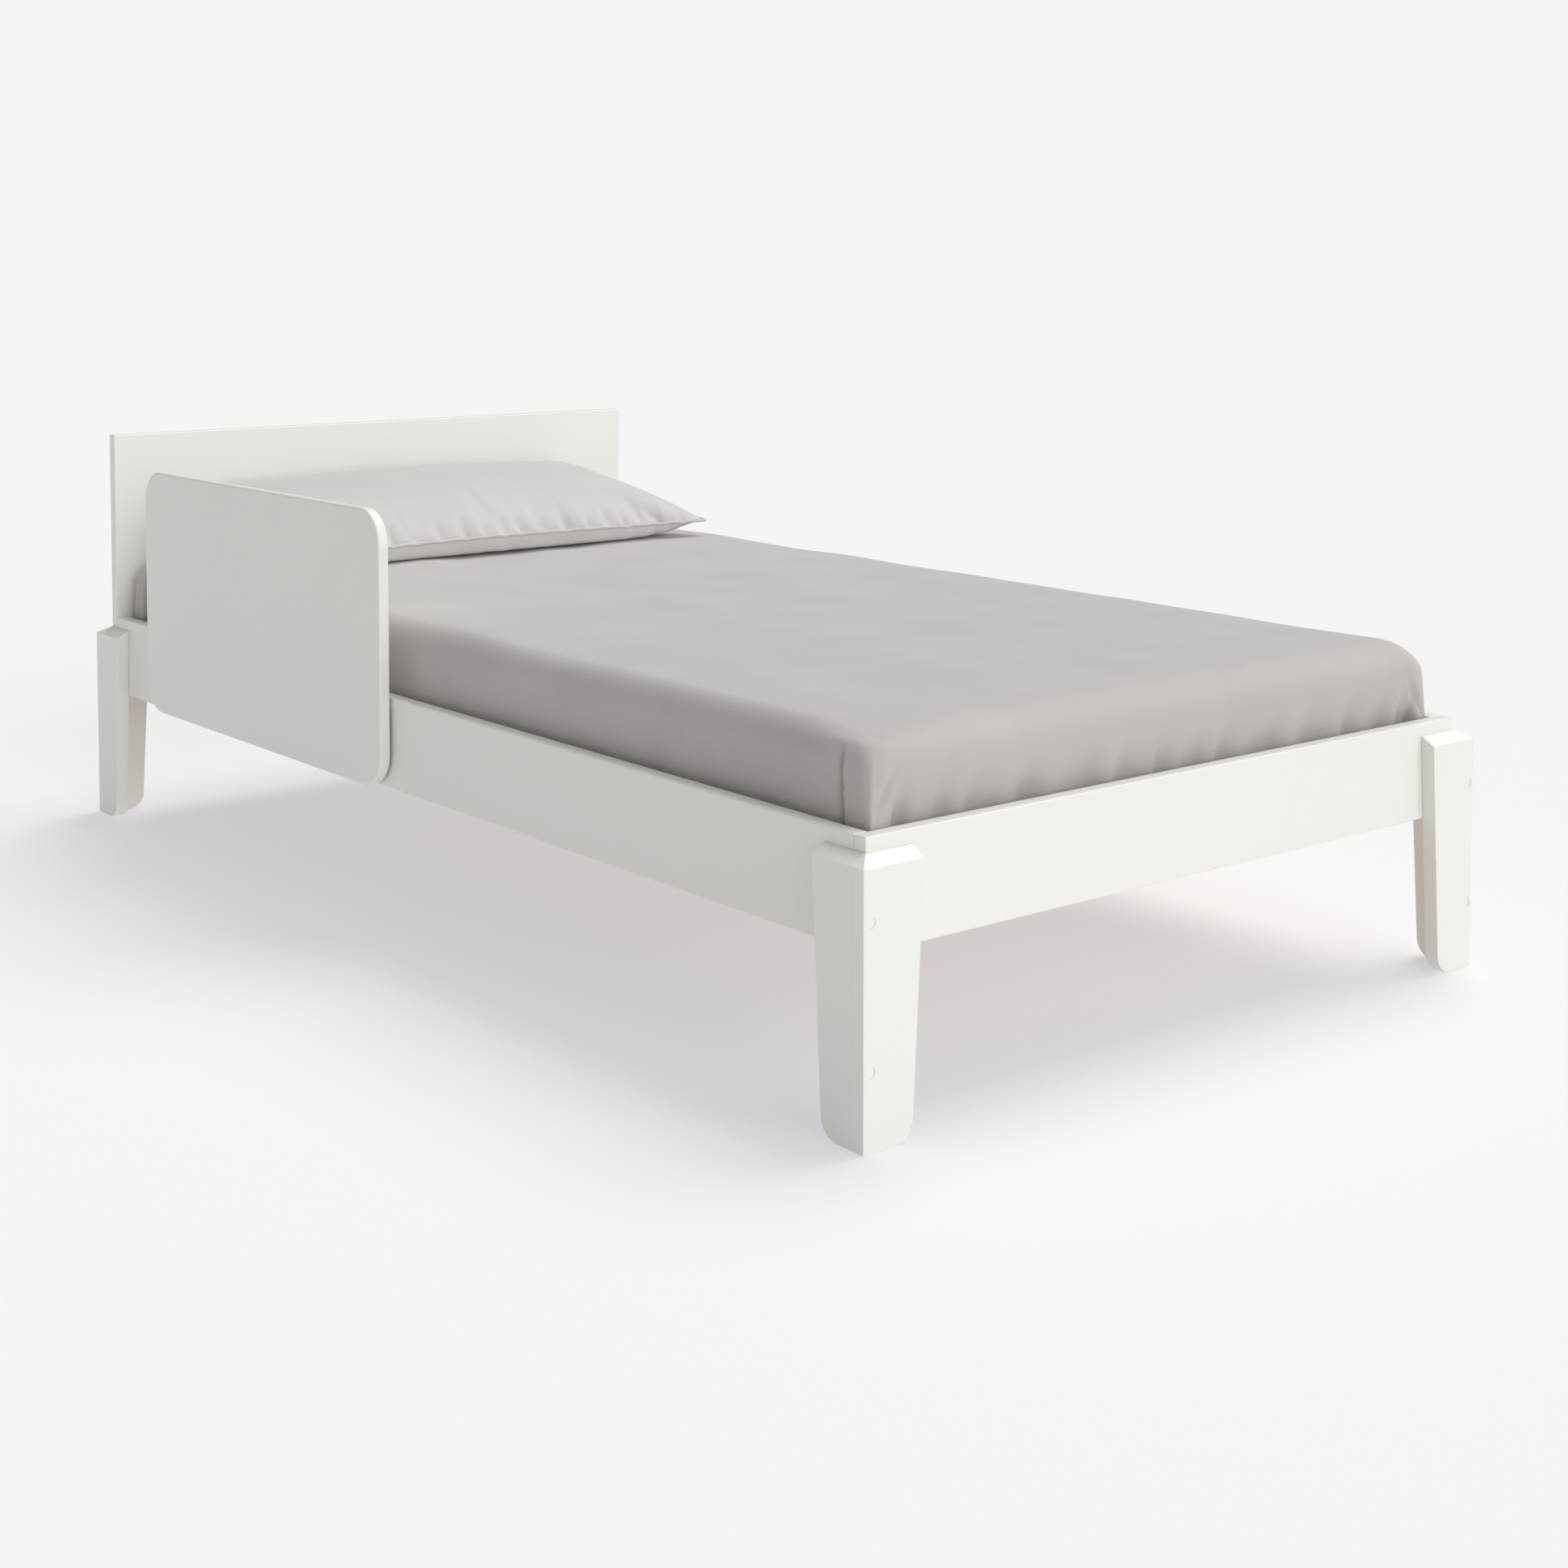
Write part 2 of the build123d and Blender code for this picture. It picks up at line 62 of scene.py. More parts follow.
camera_data = bpy.data.cameras.new("camera")
camera_data.lens = CAMERA_LENS
camera_data.sensor_width = SENSOR_WIDTH
camera_data.shift_y = CAMERA_SHIFT
camera_data.clip_end = FAR_CLIP
camera = bpy.data.objects.new("camera", camera_data)
camera.location = CAMERA_PLACE
camera.rotation_euler = (math.radians(90.0 - CAMERA_PITCH), 0.0, -math.radians(CAMERA_YAW))
bpy.context.scene.collection.objects.link(camera)
bpy.context.scene.camera = camera


def linear(hex_colour):
    """An sRGB hex value such as '#f6f5f3' as linear red, green, blue and alpha."""
    parts = [int(hex_colour[i:i + 2], 16) / 255 for i in (1, 3, 5)]
    return tuple(c / 12.92 if c <= 0.04045 else ((c + 0.055) / 1.055) ** 2.4 for c in parts) + (1.0,)


def add(tree, kind, inputs=None, **settings):
    """One node with its settings, and its inputs given as values or as sockets to link from."""
    made = tree.nodes.new(kind)
    for name, value in settings.items():
        setattr(made, name, value)
    for name, value in (inputs or {}).items():
        if isinstance(value, bpy.types.NodeSocket):
            tree.links.new(value, made.inputs[name])
        else:
            made.inputs[name].default_value = value
    return made


def finish_of(name, **sockets):
    """A named material with one Principled shader, its constants set on the shader's own sockets."""
    made = bpy.data.materials.new(name)
    made.use_nodes = True
    shader = made.node_tree.nodes["Principled BSDF"]
    for socket, value in sockets.items():
        shader.inputs[socket.replace("_", " ")].default_value = value
    return made, made.node_tree, shader


# Lights: soft daylight from all round, a very wide lamp high on the right, and a low one at the
# foot end. The left side lies in shade, the foot end is bright, and every shadow has a soft edge.

BACKDROP = "#f7f5f4"
AMBIENT_STRENGTH = 0.368
LAMPS = {                    # where from, strength, and width in degrees
    "high_lamp": ((0.47, 0.05, 0.88), 1.93, 42.0),
    "foot_lamp": ((0.10, -0.97, 0.22), 1.80, 60.0),
}
FLOOR_HALF = 30.0
FLOOR_COLOUR = "#bbb4ac"
PAINTED_GLOW_COLOUR = "#f0f5ff"
FLOOR_PAINTED_GLOW = 0.470           # painted glow: the floor gives off light of its own, from no lamp, so its shadows stay pale

world = bpy.data.worlds.new("studio")
bpy.context.scene.world = world
world.use_nodes = True
sky = world.node_tree
sky.nodes.clear()
seen = add(sky, "ShaderNodeBackground", {"Color": linear(BACKDROP), "Strength": 1.0})
lit = add(sky, "ShaderNodeBackground", {"Color": (1.0, 1.0, 1.0, 1.0), "Strength": AMBIENT_STRENGTH})
ray = add(sky, "ShaderNodeLightPath")
both = add(sky, "ShaderNodeMixShader",
           {0: ray.outputs["Is Camera Ray"], 1: lit.outputs[0], 2: seen.outputs[0]})
add(sky, "ShaderNodeOutputWorld", {"Surface": both.outputs[0]})

for lamp_name, (lamp_from, strength, width) in LAMPS.items():
    lamp_data = bpy.data.lights.new(lamp_name, "SUN")
    lamp_data.energy = strength
    lamp_data.angle = math.radians(width)
    lamp = bpy.data.objects.new(lamp_name, lamp_data)
    lamp.rotation_euler = Vector(lamp_from).to_track_quat("Z", "Y").to_euler()
    bpy.context.scene.collection.objects.link(lamp)

floor_mesh = bpy.data.meshes.new("floor")
corners = [(-1, -1, 0), (1, -1, 0), (1, 1, 0), (-1, 1, 0)]
floor_mesh.from_pydata([tuple(FLOOR_HALF * c for c in corner) for corner in corners], [], [(0, 1, 2, 3)])
floor = bpy.data.objects.new("floor", floor_mesh)
bpy.context.scene.collection.objects.link(floor)
# The floor is pale and matt, and it also glows evenly: painted light that lifts the shadows on it and lights
# the bed from below.
glowing_floor, _, _ = finish_of(
    "floor_with_painted_glow", Base_Color=linear(FLOOR_COLOUR), Roughness=1.0, Specular_IOR_Level=0.0,
    Emission_Color=linear(PAINTED_GLOW_COLOUR), Emission_Strength=FLOOR_PAINTED_GLOW,
)
floor_mesh.materials.append(glowing_floor)
bpy.context.scene.view_settings.view_transform = "Standard"


# ------------------------------------------------------------------ lacquered boards
# Headboard, foot rail, side rails, the legs' eight boards and the guard panel are 12 and 15 mm
# board, sprayed and rubbed down in white. The finish is satin, with a faint orange peel.

LACQUER_TONES = ("#eae9e4", "#e6e5e0")
TONE_DRIFT = 0.35            # metres between lighter and darker stretches
PEEL_GRAIN = 0.0035          # metres from bump to bump in the sprayed coat
PEEL_DEPTH = 0.00003


def white_lacquer():
    """Sprayed satin lacquer: even white, slow drift of tone, and a fine orange peel in the gloss."""
    made, tree, shader = finish_of("white_satin_lacquer", IOR=1.5, Coat_Weight=0.12, Coat_Roughness=0.25)
    place = add(tree, "ShaderNodeTexCoord").outputs["Object"]
    drift = add(tree, "ShaderNodeTexNoise", {"Vector": place, "Scale": 1 / TONE_DRIFT, "Detail": 2.0})
    tone = add(tree, "ShaderNodeMix", {0: drift.outputs["Fac"]}, data_type="RGBA")
    tone.inputs[6].default_value, tone.inputs[7].default_value = map(linear, LACQUER_TONES)
    tree.links.new(tone.outputs[2], shader.inputs["Base Color"])
    peel = add(tree, "ShaderNodeTexNoise", {"Vector": place, "Scale": 1 / PEEL_GRAIN, "Detail": 1.5})
    gloss = add(tree, "ShaderNodeMapRange", {"Value": peel.outputs["Fac"], "To Min": 0.34, "To Max": 0.46})
    tree.links.new(gloss.outputs[0], shader.inputs["Roughness"])
    bump = add(tree, "ShaderNodeBump",
               {"Height": peel.outputs["Fac"], "Distance": PEEL_DEPTH, "Strength": 0.6})
    tree.links.new(bump.outputs[0], shader.inputs["Normal"])
    return made


def paint(names, finish):
    """Give CAD nodes a finish, in place of the materials they came with."""
    for name in names:
        nodes[name].data.materials.clear()
        nodes[name].data.materials.append(finish)


LEG_BOARDS = [n for n in nodes if n.startswith("leg_") and n.endswith("_board")]
lacquer = white_lacquer()
paint(["headboard", "foot_rail", "side_rail_left", "side_rail_right", "guard_panel"] + LEG_BOARDS,
      lacquer)


# ------------------------------------------------------------------ screw caps and spacers
# Small injection-moulded parts: white caps pressed over the legs' screws, a little below the face,
# and nylon washers that hold the guard panel off the rail. Their surface is finely sparked.

SPARK_GRAIN = 0.0012         # metres between the pits that the mould leaves


def moulded(name, colours, roughness):
    """Moulded plastic: one colour with a faint cloudiness, and the mould's spark-eroded texture."""
    made, tree, shader = finish_of(name, IOR=1.49, Roughness=roughness)
    place = add(tree, "ShaderNodeTexCoord").outputs["Object"]
    pits = add(tree, "ShaderNodeTexNoise", {"Vector": place, "Scale": 1 / SPARK_GRAIN, "Detail": 2.0})
    cloud = add(tree, "ShaderNodeTexNoise", {"Vector": place, "Scale": 90.0, "Detail": 1.0})
    tone = add(tree, "ShaderNodeMix", {0: cloud.outputs["Fac"]}, data_type="RGBA")
    tone.inputs[6].default_value, tone.inputs[7].default_value = map(linear, colours)
    tree.links.new(tone.outputs[2], shader.inputs["Base Color"])
    bump = add(tree, "ShaderNodeBump", {"Height": pits.outputs["Fac"], "Distance": 0.00005, "Strength": 0.7})
    tree.links.new(bump.outputs[0], shader.inputs["Normal"])
    return made


paint(["leg_screw_caps"], moulded("white_polyethylene", ("#eeede8", "#e6e5e0"), 0.5))
paint(["guard_spacers"], moulded("natural_nylon", ("#e4e1d6", "#d9d5c8"), 0.42))


# ------------------------------------------------------------------ fastenings
# Screws, bolts and threaded inserts are plated steel: zinc with a clear passivation that leaves a
# faintly blue, slightly mottled sheen.

PLATING_GRAIN = 0.004        # metres from light patch to dark patch of the plating


def zinc_steel():
    """Bright zinc plating: metal, patchy in gloss and in its blue cast."""
    made, tree, shader = finish_of("zinc_plated_steel", Metallic=1.0)
    place = add(tree, "ShaderNodeTexCoord").outputs["Object"]
    patch = add(tree, "ShaderNodeTexNoise", {"Vector": place, "Scale": 1 / PLATING_GRAIN, "Detail": 3.0})
    tone = add(tree, "ShaderNodeMix", {0: patch.outputs["Fac"]}, data_type="RGBA")
    tone.inputs[6].default_value, tone.inputs[7].default_value = linear("#c6cad0"), linear("#a9adb2")
    tree.links.new(tone.outputs[2], shader.inputs["Base Color"])
    gloss = add(tree, "ShaderNodeMapRange", {"Value": patch.outputs["Fac"], "To Min": 0.26, "To Max": 0.46})
    tree.links.new(gloss.outputs[0], shader.inputs["Roughness"])
    return made


paint(["leg_screws", "frame_bolts", "frame_inserts", "cleat_screws", "slat_screws", "guard_bolts",
       "guard_inserts"], zinc_steel())


# ------------------------------------------------------------------ slats, cleats and dowels
# The base is planed pine, left bare: two cleats along the side rails and thirteen slats across
# them. Dowels of the same pine lock the rails' ends. The grain runs with each board.

EARLYWOOD = "#e2cda4"
LATEWOOD = "#c9a877"
RING_WIDTH = 0.009           # metres between growth rings on a flat-sawn face
GRAIN_STRETCH = 22.0         # how much longer than wide the figure is
FIBRE = 0.0012               # metres across one visible fibre streak
RING_SHARE = 0.65            # how much of the figure is rings; the rest is fibre


def bare_pine(name, along):
    """Planed pine whose figure is stretched along one axis: rings, fibre streaks and a soft bump."""
    made, tree, shader = finish_of(name, IOR=1.52)
    place = add(tree, "ShaderNodeTexCoord").outputs["Object"]
    squeeze = [1.0, 1.0, 1.0]
    squeeze[along] = 1 / GRAIN_STRETCH
    grain = add(tree, "ShaderNodeMapping", {"Vector": place, "Scale": squeeze})
    rings = add(tree, "ShaderNodeTexWave", {
        "Vector": grain.outputs[0], "Scale": 1 / (RING_WIDTH * 2 * math.pi), "Distortion": 7.0,
        "Detail": 2.0, "Detail Scale": 0.8}, bands_direction="XYZ"[(along + 1) % 3])
    fibre = add(tree, "ShaderNodeTexNoise", {"Vector": grain.outputs[0], "Scale": 1 / FIBRE, "Detail": 2.0})
    figure = add(tree, "ShaderNodeMath", {0: rings.outputs["Fac"], 1: RING_SHARE}, operation="MULTIPLY")
    mixed = add(tree, "ShaderNodeMath",
                {0: fibre.outputs["Fac"], 1: 1 - RING_SHARE, 2: figure.outputs[0]},
                operation="MULTIPLY_ADD")
    tone = add(tree, "ShaderNodeMix", {0: mixed.outputs[0]}, data_type="RGBA")
    tone.inputs[6].default_value, tone.inputs[7].default_value = linear(EARLYWOOD), linear(LATEWOOD)
    tree.links.new(tone.outputs[2], shader.inputs["Base Color"])
    gloss = add(tree, "ShaderNodeMapRange", {"Value": mixed.outputs[0], "To Min": 0.55, "To Max": 0.72})
    tree.links.new(gloss.outputs[0], shader.inputs["Roughness"])
    bump = add(tree, "ShaderNodeBump", {"Height": mixed.outputs[0], "Distance": 0.0002, "Strength": 0.5})
    tree.links.new(bump.outputs[0], shader.inputs["Normal"])
    return made


paint([n for n in nodes if n.startswith("slat_0") or n.startswith("slat_1")],
      bare_pine("planed_pine_across", 0))
paint(["slat_cleat_left", "slat_cleat_right", "rail_dowels"], bare_pine("planed_pine_along", 1))


# ------------------------------------------------------------------ mattress
# A foam block in a ticking cover, quilted on its underside, where it shows between the slats.
# The cover's edges are round, and it just fills the space between the rails.

CORE_LOW, CORE_HIGH = (np.array(corner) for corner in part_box("mattress_core"))
CORE_SLACK = np.array([0.004, 0.011, 0.0])    # how much smaller the foam is than its cover's room
CORE_CORNER = 0.046          # radius of its corners, seen from above
CORE_EDGE = 0.036            # and of its top and bottom edges
TOP_RINGS, EDGE_RINGS, SIDE_RINGS, UNDER_RINGS = 22, 7, 5, 59
CORE_CUTS = (64, 128)        # cells along its short and long sides
CORE_BEND = 8                # and round each corner
QUILT_PITCH = 0.075
QUILT_DEPTH = 0.0022
QUILT_PULL = 0.4             # share of the way between two lines that a quilting line draws up


def outline(half_x, half_y, corner, cuts_x, cuts_y, turn):
    """Points round rounded rectangles, one row for each value of half_x, half_y and corner.

    Anticlockwise from the start of the +X side. The straights are cut at the fractions cuts_x and
    cuts_y of their half length, from -1 to 1, and each quarter turn in turn parts, so every row
    has the same count. Returns x, y and the outward direction, each as rows by points.
    """
    half_x, half_y, corner = (np.atleast_1d(v).astype(float)[:, None] for v in (half_x, half_y, corner))
    run_x = (half_x - corner) * np.asarray(cuts_x)[None, :-1]
    run_y = (half_y - corner) * np.asarray(cuts_y)[None, :-1]
    bend = np.linspace(0, math.pi / 2, turn + 1)[None, :-1]
    xs, ys, angles = [], [], []
    for quarter, run in enumerate((run_y, run_x, run_y, run_x)):
        facing = quarter * math.pi / 2
        c, s = round(math.cos(facing)), round(math.sin(facing))
        reach, other = (half_x, half_y) if quarter % 2 == 0 else (half_y, half_x)
        a = bend + 0 * corner
        local_x = np.hstack([reach + 0 * run, reach - corner + corner * np.cos(a)])
        local_y = np.hstack([run, other - corner + corner * np.sin(a)])
        xs.append(c * local_x - s * local_y)
        ys.append(s * local_x + c * local_y)
        angles.append(facing + np.hstack([0 * run, a]))
    return np.hstack(xs), np.hstack(ys), np.hstack(angles)


def skin(name, grid):
    """A smooth mesh from an array of rows by points by three, each row a closed ring.

    Where the first and last rows have shrunk to a line or a point, their doubles are merged.
    """
    rows, count = grid.shape[:2]
    index = np.arange(rows * count).reshape(rows, count)
    turned = np.roll(index, -1, axis=1)
    quads = np.stack([index[:-1], turned[:-1], turned[1:], index[1:]], axis=-1).reshape(-1, 4)
    mesh = bpy.data.meshes.new(name)
    mesh.from_pydata(grid.reshape(-1, 3).tolist(), [], quads.tolist())
    form = bmesh.new()
    form.from_mesh(mesh)
    bmesh.ops.remove_doubles(form, verts=form.verts, dist=1e-6)
    bmesh.ops.dissolve_degenerate(form, edges=form.edges, dist=1e-7)
    bmesh.ops.recalc_face_normals(form, faces=form.faces)
    form.to_mesh(mesh)
    form.free()
    mesh.shade_smooth()
    made = bpy.data.objects.new(name, mesh)
    bpy.context.scene.collection.objects.link(made)
    return made


def foam_mattress():
    """The quilted block as rings: from the top's middle out over the edge, down and back under.

    The underside is lowered nowhere, only drawn up along two families of quilting lines, by a
    depth times the larger of two narrow ridges of the diagonals x + y and x - y.
    """
    half = (CORE_HIGH - CORE_LOW) / 2 - CORE_SLACK
    middle = (CORE_HIGH + CORE_LOW) / 2
    top = np.linspace(half[0], CORE_EDGE, TOP_RINGS)
    bend = np.linspace(0, math.pi / 2, EDGE_RINGS + 1)[1:]
    side = np.linspace(half[2] - CORE_EDGE, -half[2] + CORE_EDGE, SIDE_RINGS + 1)[1:]
    under = np.linspace(CORE_EDGE, half[0], UNDER_RINGS + 1)[1:]
    inward = np.concatenate([top, CORE_EDGE * (1 - np.sin(bend)), 0 * side,
                             CORE_EDGE * (1 - np.cos(bend)), under])
    height = np.concatenate([half[2] + 0 * top, half[2] - CORE_EDGE * (1 - np.cos(bend)), side,
                             -half[2] + CORE_EDGE * (1 - np.sin(bend)), -half[2] + 0 * under])
    x, y, _ = outline(half[0] - inward, half[1] - inward, CORE_CORNER * (1 - inward / half[0]),
                      *[np.linspace(-1, 1, n + 1) for n in CORE_CUTS], CORE_BEND)
    lines = [np.abs((x + s * y) / QUILT_PITCH % 1.0 - 0.5) * 2 for s in (-1, 1)]
    ridge = np.maximum(*[np.clip((line - (1 - QUILT_PULL)) / QUILT_PULL, 0, 1) ** 2 for line in lines])
    beneath = (np.arange(len(height)) >= len(height) - UNDER_RINGS)[:, None]
    z = height[:, None] + beneath * QUILT_DEPTH * ridge
    return skin("foam_mattress", np.stack([x + middle[0], y + middle[1], z + middle[2]], axis=-1))


THREAD = 0.0011              # metres between threads; real yarn is a third of that, too fine to show
SLUB = 0.016                 # metres along a yarn from thick place to thin place


def woven_cotton(name, colours, sheen):
    """Plain-weave cotton: two crossing sets of uneven yarns, matt with a soft sheen.

    Each set is a noise stretched along its own yarns. They make the colour streaky and the bump
    grainy, and a slower noise makes the cloth cloudy as washed cotton is.
    """
    made, tree, shader = finish_of(name, IOR=1.5, Roughness=0.92, Specular_IOR_Level=0.25,
                                   Sheen_Weight=sheen, Sheen_Roughness=0.45)
    place = add(tree, "ShaderNodeTexCoord").outputs["Object"]
    sets = []
    for scale in ((1 / THREAD, 1 / SLUB, 1 / THREAD), (1 / SLUB, 1 / THREAD, 1 / THREAD)):
        stretched = add(tree, "ShaderNodeMapping", {"Vector": place, "Scale": scale})
        sets.append(add(tree, "ShaderNodeTexNoise",
                        {"Vector": stretched.outputs[0], "Scale": 1.0, "Detail": 1.5}))
    weave = add(tree, "ShaderNodeMath", {0: sets[0].outputs["Fac"], 1: sets[1].outputs["Fac"]},
                operation="ADD")
    cloud = add(tree, "ShaderNodeTexNoise", {"Vector": place, "Scale": 9.0, "Detail": 3.0})
    shade = add(tree, "ShaderNodeMath", {0: weave.outputs[0], 1: 0.35, 2: cloud.outputs["Fac"]},
                operation="MULTIPLY_ADD")
    spread = add(tree, "ShaderNodeMapRange", {"Value": shade.outputs[0], "From Min": 0.45, "From Max": 1.25})
    tone = add(tree, "ShaderNodeMix", {0: spread.outputs[0]}, data_type="RGBA")
    tone.inputs[6].default_value, tone.inputs[7].default_value = map(linear, colours)
    tree.links.new(tone.outputs[2], shader.inputs["Base Color"])
    bump = add(tree, "ShaderNodeBump", {"Height": weave.outputs[0], "Distance": 0.00025, "Strength": 0.5})
    tree.links.new(bump.outputs[0], shader.inputs["Normal"])
    return made


mattress = foam_mattress()
mattress.data.materials.append(woven_cotton("quilted_ticking", ("#e9e6df", "#dedad2"), 0.1))
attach(mattress, "mattress")
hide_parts("mattress_core")


# ------------------------------------------------------------------ fitted sheet
# One piece of grey-beige cotton with boxed corners, drawn down over the mattress and turned under
# it by an elastic hem. It lies smooth on top, puckers along the rails, and folds over at corners.

SHEET_LOW, SHEET_HIGH = (np.array(corner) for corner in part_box("fitted_sheet"))
SHEET_THICK = 0.0010
SHEET_HALF = np.array([0.3648, 0.7090])
SHEET_SHIFT = 0.0012         # it lies a little to the right
SHEET_CROWN = 0.0042         # how much higher the middle of the top lies than its edges
TOP_BAND = 0.012             # how far below the top its crown and ripples have faded out
TOP_RIPPLES = (              # height, stretch along the bed, shortest and longest wave, and draw
    (0.00045, 1.6, 0.07, 0.20, 3),
    (0.0004, 1.0, 0.2, 0.5, 4),
)
EDGE_OVER = (0.024, 0.029)   # how far the top edge rounds over inwards: long sides, ends
EDGE_DROP = (0.028, 0.031)   # and how far down
CORNER_TOP, CORNER_MIDDLE, CORNER_LOW = 0.024, 0.016, 0.004    # its corners' radius, going down
LOWER_EDGE = 0.018
HEM = 0.070                  # how far the cloth is turned under
SHEET_RINGS = (26, 8, 12, 4)           # over the top, round each edge, down the side, in the hem
SIDE_CUTS = ((0.009, 0.002), (0.014, 0.0018))    # wide and fine cells: along the ends, the sides
CORNER_ZONE = 0.044          # length of the fine cells' stretch at each corner
CORNER_BEND = 10             # cells round each corner
RAIL_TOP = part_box("side_rail_left")[1][2]

# The worn corner at the foot's left, where the foam has been sat on: how far the top sinks and its
# upper part gives inwards, and how far from the corner each of them reaches.
CORNER_SAG, SAG_REACH = 0.008, 0.065
CORNER_GIVE, GIVE_REACH = 0.006, 0.032

# Puckers that the elastic draws, as pitch, depth of drift and drift's pitch along the edge. At the
# ends they are drawn in a little all the way down, and more behind the rail.
END_PUCKERS, SIDE_PUCKERS = (0.052, 1.5, 0.31), (0.105, 1.8, 0.47)
END_PULL, BEHIND_RAIL, PUCKER_DEPTH, SIDE_PULL = 0.0018, 0.0045, 0.0080, 0.0012
TUCKS = (0.112, 0.345)       # where the elastic draws in a sharp tuck at the foot end, as x
TUCK_WIDTH, TUCK_DEPTH = 0.0045, 0.009

# The envelope fold of each corner: its distance from the end at the top, how much nearer it comes
# on the way down and half the width of its step, how far the flap stands out, the dark slot and
# the wide dip beside it, and the crease and the seam's ridge at the corner itself.
FOLD_PLACE, FOLD_LEAN, FOLD_EDGE = 0.038, 0.006, 0.0014
FLAP_LIFT, FLAP_REACH = 0.0022, 0.040
SLOT_DEPTH, SLOT_WIDTH = 0.0090, 0.0032
DIP_DEPTH, DIP_WIDTH = 0.0035, 0.012
CREASE_PLACE, CREASE_HEIGHT, CREASE_WIDTH, CREASE_DEPTH = 0.030, 0.045, 0.0035, 0.0045
RIDGE_WIDTH, RIDGE_LIFT = 0.05, 0.0009


def ripples(x, y, shortest, longest, seed, count=26):
    """Smooth uneven waves about 1 high: a sum of plane waves in drawn directions and lengths."""
    draw = np.random.default_rng(seed)
    way = draw.uniform(0, 2 * math.pi, count)
    pitch = 2 * math.pi / draw.uniform(shortest, longest, count)
    start = draw.uniform(0, 2 * math.pi, count)
    phase = (x[..., None] * (np.cos(way) * pitch) + y[..., None] * (np.sin(way) * pitch)) + start
    return np.cos(phase).sum(axis=-1) * math.sqrt(2 / count)


def step(value, low, high):
    """0 below low, 1 above high, and a smooth rise between."""
    t = np.clip((value - low) / (high - low), 0, 1)
    return t * t * (3 - 2 * t)


def cuts(run, wide, fine, close):
    """Fractions from -1 to 1 along a straight of half length run, fine within close of its ends."""
    near = np.arange(0, close, fine)
    between = np.linspace(-run + close, run - close, round(2 * (run - close) / wide) + 1)
    return np.concatenate([near - run, between, (run - near)[::-1]]) / run


